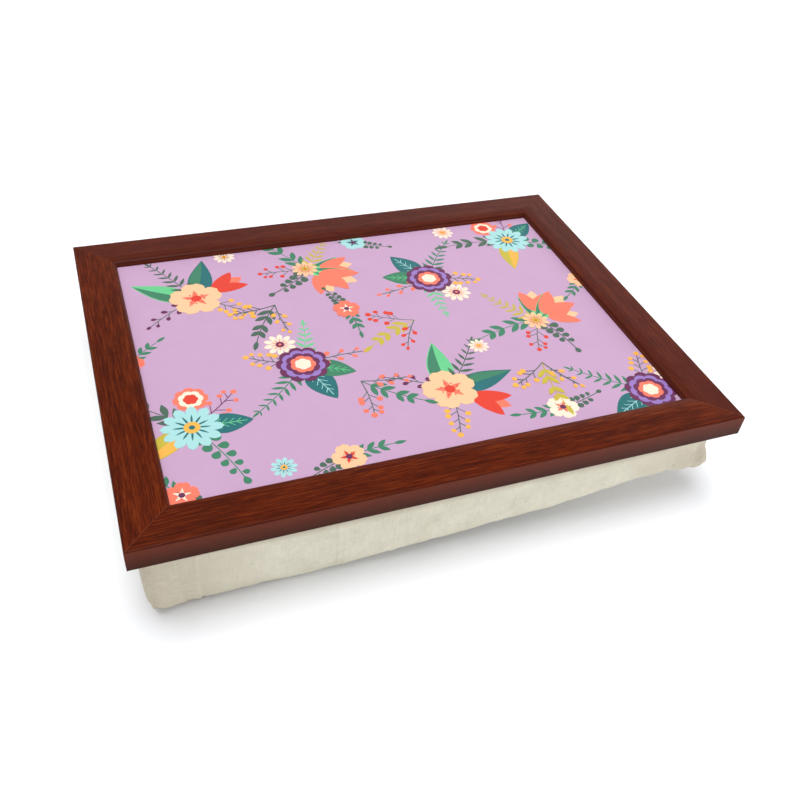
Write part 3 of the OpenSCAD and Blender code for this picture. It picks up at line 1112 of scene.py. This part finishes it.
def round_sprig(at, turn, length, bow, ink, leaf, pairs=5):
    """A sprig of round leaves on short stalks, left and right by turns."""
    places = stem(ink, at, turn, length, bow)
    for i in range(2 * pairs):
        place, facing = places[2 + i] if 2 + i < len(places) else places[-1]
        lean = 58 if i % 2 else -58
        size = leaf * (1 - 0.05 * i)
        foot = beyond(place, facing + lean, 0.8)
        stamp(ink, petal(size, size * 0.82, 0.62, 0.55, 8), foot, facing + lean)
    stamp(ink, petal(leaf * 0.8, leaf * 0.55, 0.6, 0.6, 8), *places[-1])


def willow_sprig(at, turn, length, bow, ink, leaf, pairs=4):
    """A sprig of slim pointed leaves."""
    places = stem(ink, at, turn, length, bow)
    for i in range(pairs):
        place, facing = places[2 + i * 10 // pairs]
        for lean in (34, -38):
            stamp(ink, petal(leaf * (1 - 0.09 * i), leaf * 0.34, 0.5, 0.95, 8), place, facing + lean)
    stamp(ink, petal(leaf * 0.9, leaf * 0.3, 0.5, 0.95, 8), *places[-1])


def bud_sprig(at, turn, length, bow, wood, bud, buds=6):
    """A stalk with oval buds, each in a small cup."""
    places = stem(wood, at, turn, length, bow)
    for i in range(buds):
        place, facing = places[3 + i * 9 // buds]
        lean = 40 if i % 2 else -40
        tip = beyond(place, facing + lean, 3.0)
        stem(wood, place, facing + lean, 3.4, 0.3, 0.5, 3)
        stamp(bud, petal(5.2 - 0.35 * i, 3.4 - 0.2 * i, 0.55, 0.6, 8), tip, facing + lean)
    stamp(bud, petal(4.0, 2.4, 0.55, 0.6, 8), *places[-1])


def berry_spray(at, turn, length, bow, wood, berry, count=7, size=1.9):
    """Thin forked stalks, each ending in a berry."""
    places = stem(wood, at, turn, length, bow, 0.55)
    for i in range(count):
        place, facing = places[4 + i * 8 // count]
        lean = (38 + 5 * (i % 3)) * (1 if i % 2 else -1)
        reach = 8.5 - 0.6 * i
        twig = stem(wood, place, facing + lean, reach, 0.8 if i % 2 else -0.8, 0.45, 4)
        stamp(berry, disc(size * (1 - 0.04 * i), 14), twig[-1][0])
    stamp(berry, disc(size, 14), places[-1][0])


HERE = (0.0, 0.0)


def bunch_with_cosmos():
    blade(HERE, 62, 44, 16, "teal", "green", 4)
    blade(HERE, 146, 44, 16, "mint", "green", -4)
    frond(HERE, 104, 48, 5, "sage", 11)
    berry_spray(HERE, -38, 38, -5, "sage", "amber")
    bud_sprig(HERE, 200, 38, 5, "sage", "plum")
    tulip(beyond(HERE, 20, 14), 20, 24, "red", "coral")
    cosmos(HERE, 17, "peach", "coral", "red", 10)


def bunch_with_daisy():
    willow_sprig(HERE, 20, 46, 6, "sage", 12)
    round_sprig(HERE, 190, 44, -6, "green", 7.5)
    blade(HERE, 96, 38, 14, "olive", "amber", 5)
    berry_spray(HERE, 280, 34, 5, "plum", "coral", 6, 1.7)
    broad_leaf(beyond(HERE, 245, 7), 245, 25, 15, "teal", "mint")
    folk_rose(beyond(HERE, 330, 22), 9.5, ("coral", "ivory", "red"), 8)
    daisy(HERE, 16.5, "aqua", "teal", "amber", 12)


def bunch_with_rose():
    frond(HERE, 10, 47, -6, "green", 11)
    frond(HERE, 205, 38, 5, "mint", 10, 7)
    broad_leaf(beyond(HERE, 66, 7), 66, 29, 17, "teal", "aqua")
    broad_leaf(beyond(HERE, 112, 7), 112, 25, 15, "green", "mint")
    bud_sprig(HERE, 150, 38, -5, "sage", "coral")
    berry_spray(HERE, 300, 34, -4, "sage", "amber")
    daisy(beyond(HERE, 250, 23), 10, "ivory", "coral", "plum", 10)
    folk_rose(HERE, 16, ("plum", "lavender", "plum", "coral", "ivory"), 10)


def bunch_with_tulips():
    willow_sprig(HERE, 178, 48, 7, "green", 12.5)
    frond(HERE, 128, 40, -5, "olive", 10, 7)
    berry_spray(HERE, 232, 34, 4, "sage", "red", 6, 1.7)
    for turn, size in ((66, 27), (-8, 25), (28, 31)):
        blade(HERE, turn + 18, size, 7, "mint", "green", 3)
        tulip(beyond(HERE, turn, 9), turn, size * 0.9, "coral", "peach")
    round_sprig(HERE, 288, 36, -5, "sage", 7, 4)
    daisy(beyond(HERE, 205, 3), 9.5, "peach", "red", "olive", 10)


def loose_sprig(leaf, berry):
    willow_sprig(HERE, 0, 42, 6, leaf, 11)
    berry_spray(HERE, -36, 32, -5, "sage", berry, 6, 2.1)
    bud_sprig(HERE, 34, 30, 4, "sage", berry, 5)


def small_posy(outer, inner):
    round_sprig(HERE, 160, 24, 3, "sage", 5, 4)
    willow_sprig(HERE, -20, 24, -3, "green", 8, 3)
    cosmos(HERE, 9, outer, inner, "plum")


def single_daisy(outer, inner):
    daisy(HERE, 8, outer, inner, "amber", 10)


LAYOUT = [
    (bunch_with_cosmos, (-128, 74), 8, 1.2),
    (bunch_with_tulips, (-34, 92), -64, 1.15),
    (bunch_with_rose, (58, 58), 52, 1.2),
    (bunch_with_daisy, (148, 98), 150, 1.2),
    (bunch_with_rose, (-70, -22), 222, 1.2),
    (bunch_with_daisy, (-156, -66), 112, 1.25),
    (bunch_with_cosmos, (22, -74), -58, 1.2),
    (bunch_with_tulips, (122, -14), 6, 1.15),
    (bunch_with_rose, (164, -112), 140, 1.2),
    (small_posy, (-66, -118), 34, 1.3, "peach", "red"),
    (small_posy, (92, -112), 206, 1.3, "ivory", "coral"),
    (small_posy, (14, 124), 168, 1.2, "aqua", "teal"),
    (small_posy, (-186, 8), 70, 1.2, "coral", "ivory"),
    (small_posy, (182, 28), 250, 1.2, "peach", "coral"),
    (small_posy, (-20, 34), 300, 1.2, "coral", "ivory"),
    (loose_sprig, (-36, -50), -48, 1.1, "green", "coral"),
    (loose_sprig, (26, 8), -160, 1.1, "olive", "red"),
    (loose_sprig, (100, -64), -104, 1.1, "olive", "amber"),
    (loose_sprig, (-72, 52), -128, 1.1, "sage", "amber"),
    (small_posy, (-172, -122), 150, 1.2, "coral", "ivory"),
    (single_daisy, (96, 122), 20, 1.2, "ivory", "coral"),
    (single_daisy, (-108, -116), 0, 1.1, "aqua", "teal"),
    (single_daisy, (-96, 126), 10, 1.1, "ivory", "plum"),
    (single_daisy, (62, -34), 10, 1.0, "ivory", "coral"),
]


def draw_print():
    """Draws each bunch about the origin, then sizes, turns and moves it to its place."""
    for bunch, at, turn, size, *inks in LAYOUT:
        first = len(marks)
        bunch(*inks)
        for i in range(first, len(marks)):
            ink, outline = marks[i]
            marks[i] = (ink, [beyond(at, turn, x * size, y * size) for x, y in outline])


def trimmed(outline, half_x, half_y):
    """Cuts an outline off at the sight edge of the frame."""
    for axis, sign, limit in ((0, 1, half_x), (0, -1, half_x), (1, 1, half_y), (1, -1, half_y)):
        kept = []
        for i, point in enumerate(outline):
            before = outline[i - 1]
            now_in = sign * point[axis] <= limit
            was_in = sign * before[axis] <= limit
            if now_in != was_in:
                share = (sign * limit - before[axis]) / (point[axis] - before[axis])
                kept.append(tuple(b + (p - b) * share for b, p in zip(before, point)))
            if now_in:
                kept.append(point)
        outline = kept
    return outline


def cleaned(outline):
    """Drops repeated points and makes the outline run anticlockwise."""
    kept = []
    for point in outline:
        if not kept or math.dist(point, kept[-1]) > 0.01:
            kept.append(point)
    while len(kept) > 2 and math.dist(kept[0], kept[-1]) <= 0.01:
        kept.pop()
    area = sum(kept[i - 1][0] * kept[i][1] - kept[i][0] * kept[i - 1][1] for i in range(len(kept)))
    return kept[::-1] if area < 0 else kept


def layered_marks():
    """Each mark with its layer: one above the highest earlier mark that it may lie on."""
    placed = []
    half_x = SIGHT_X / MM - PRINT_EDGE
    half_y = SIGHT_Y / MM - PRINT_EDGE
    for ink, outline in marks:
        outline = cleaned(trimmed(outline, half_x, half_y))
        if len(outline) < 3:
            continue
        xs = [p[0] for p in outline]
        ys = [p[1] for p in outline]
        box = (min(xs), min(ys), max(xs), max(ys))
        under = [
            layer for _, _, layer, other in placed
            if box[0] < other[2] and other[0] < box[2] and box[1] < other[3] and other[1] < box[3]
        ]
        placed.append((ink, outline, 1 + max(under, default=-1), box))
    return placed


def ink_pieces():
    """One piece for each ink: thin closed plates, a few hundredths of a millimetre proud."""
    meshes = {ink: ([], []) for ink in INKS}
    foot = PANEL_TOP / MM - INK_FOOT
    for ink, outline, layer, _ in layered_marks():
        points, faces = meshes[ink]
        first = len(points)
        count = len(outline)
        face = PANEL_TOP / MM + INK_FIRST + INK_STEP * layer
        points += [(x * MM, y * MM, foot * MM) for x, y in outline]
        points += [(x * MM, y * MM, face * MM) for x, y in outline]
        faces.append(tuple(first + i for i in reversed(range(count))))
        faces.append(tuple(first + count + i for i in range(count)))
        for i in range(count):
            k = (i + 1) % count
            faces.append((first + i, first + k, first + count + k, first + count + i))
    for ink, (points, faces) in meshes.items():
        material = printed("ink_" + ink, INKS[ink])
        new_piece("print_" + ink, points, faces, material, smooth=False)


draw_print()
ink_pieces()


# Stage, lights and camera

# A white with a little blue in it, which offsets the warm light that the calico throws on it
FLOOR_WHITE = (0.915, 0.93, 0.97, 1.0)
FLOOR_GLOW = 0.02
WORLD_LEVEL = 0.5
# What polish mirrors: a bright band low down, brighter at the right, under a dark ceiling
BAND_LEVEL = 1.3
CEILING_LEVEL = 0.0
LEFT_SHARE = 0.55
RIGHT_SHARE = 1.15
BAND_SINE = 0.46
CEILING_SINE = 0.64


def shown_rays(tree):
    """1 for rays that show the background itself: straight, in gloss or through glass."""
    path = add(tree, "ShaderNodeLightPath").outputs
    shown = maths(tree, "MAXIMUM", path["Is Camera Ray"], path["Is Glossy Ray"])
    return maths(tree, "MAXIMUM", shown, path["Is Transmission Ray"])


def floor():
    half = 6.0
    mesh = bpy.data.meshes.new("floor")
    mesh.from_pydata([(-half, -half, 0), (half, -half, 0), (half, half, 0), (-half, half, 0)],
                     [], [(0, 1, 2, 3)])
    floor_plane = new_object("floor", mesh)
    material, tree, shader = new_material(
        "white_floor", Base_Color=FLOOR_WHITE, Roughness=0.9, Specular_IOR_Level=0.0,
    )
    glow = add(tree, "ShaderNodeEmission")
    feed(tree, glow.inputs["Strength"], times(tree, shown_rays(tree), FLOOR_GLOW))
    both = add(tree, "ShaderNodeAddShader", {0: shader.outputs[0], 1: glow.outputs[0]})
    feed(tree, tree.nodes["Material Output"].inputs["Surface"], both.outputs[0])
    mesh.materials.append(material)


def pale_world():
    """Even pale light all round, with a white backdrop that the camera sees behind the floor."""
    world = bpy.data.worlds.new("pale_world")
    bpy.context.scene.world = world
    world.use_nodes = True
    tree = world.node_tree
    lighting = tree.nodes["Background"]
    lighting.inputs["Color"].default_value = (1.0, 1.0, 1.0, 1.0)
    lighting.inputs["Strength"].default_value = WORLD_LEVEL
    backdrop = add(tree, "ShaderNodeBackground", {"Color": (1.0, 1.0, 1.0, 1.0), "Strength": 1.0})
    mirrored = add(tree, "ShaderNodeBackground", {"Color": (1.0, 1.0, 1.0, 1.0)})
    direction = add(tree, "ShaderNodeTexCoord").outputs["Generated"]
    to_the_right, _, height = parts(tree, direction)
    level = ranged(tree, height, BAND_SINE, CEILING_SINE, BAND_LEVEL, CEILING_LEVEL)
    level = times(tree, level, ranged(tree, to_the_right, 0.0, 0.5, LEFT_SHARE, RIGHT_SHARE))
    feed(tree, mirrored.inputs["Strength"], level)
    path = add(tree, "ShaderNodeLightPath").outputs
    in_gloss = add(tree, "ShaderNodeMixShader", {
        0: path["Is Glossy Ray"],
        1: lighting.outputs[0],
        2: mirrored.outputs[0],
    })
    both = add(tree, "ShaderNodeMixShader", {
        0: maths(tree, "MAXIMUM", path["Is Camera Ray"], path["Is Transmission Ray"]),
        1: in_gloss.outputs[0],
        2: backdrop.outputs[0],
    })
    feed(tree, tree.nodes["World Output"].inputs["Surface"], both.outputs[0])


def lamp(name, kind, at, aim, level, **form):
    """A lamp that shines from one place towards another. Only that direction counts for a sun."""
    light = bpy.data.lights.new(name, kind)
    light.energy = level
    for setting, value in form.items():
        setattr(light, setting, value)
    holder = new_object(name, light)
    holder.location = at
    holder.rotation_euler = (Vector(aim) - Vector(at)).to_track_quat("-Z", "Y").to_euler()


def soft_box(name, at, aim, level):
    lamp(name, "AREA", at, aim, level, shape="SQUARE", size=0.4)


def photo_camera():
    """The photograph's own view, solved from the frame's corners and mitres."""
    ahead = Vector((0.30556555, 0.68163103, -0.66483745)).normalized()
    right = Vector((0.93629322, -0.34207769, 0.07961071)).normalized()
    up = right.cross(ahead)
    data = bpy.data.cameras.new("photo_camera")
    data.sensor_width = 36.0
    data.lens = 39.224
    data.clip_start = 0.01
    data.clip_end = 50.0
    camera = new_object("photo_camera", data)
    turn = Matrix((right, up, -ahead)).transposed().to_4x4()
    camera.matrix_world = Matrix.Translation((-0.19916, -0.48406, 0.47135)) @ turn
    bpy.context.scene.camera = camera


floor()
pale_world()
lamp("key_light", "SUN", (-0.07, 0.07, 1.0), (0.0, 0.0, 0.0), 2.3, angle=math.radians(40.0))
soft_box("front_box", (0.75, -1.2, 0.22), (0.0, -0.15, 0.03), 1.95)
soft_box("side_box", (1.3, -0.35, 0.3), (0.15, -0.15, 0.02), 4.1)
photo_camera()

bpy.context.scene.view_settings.view_transform = "Standard"
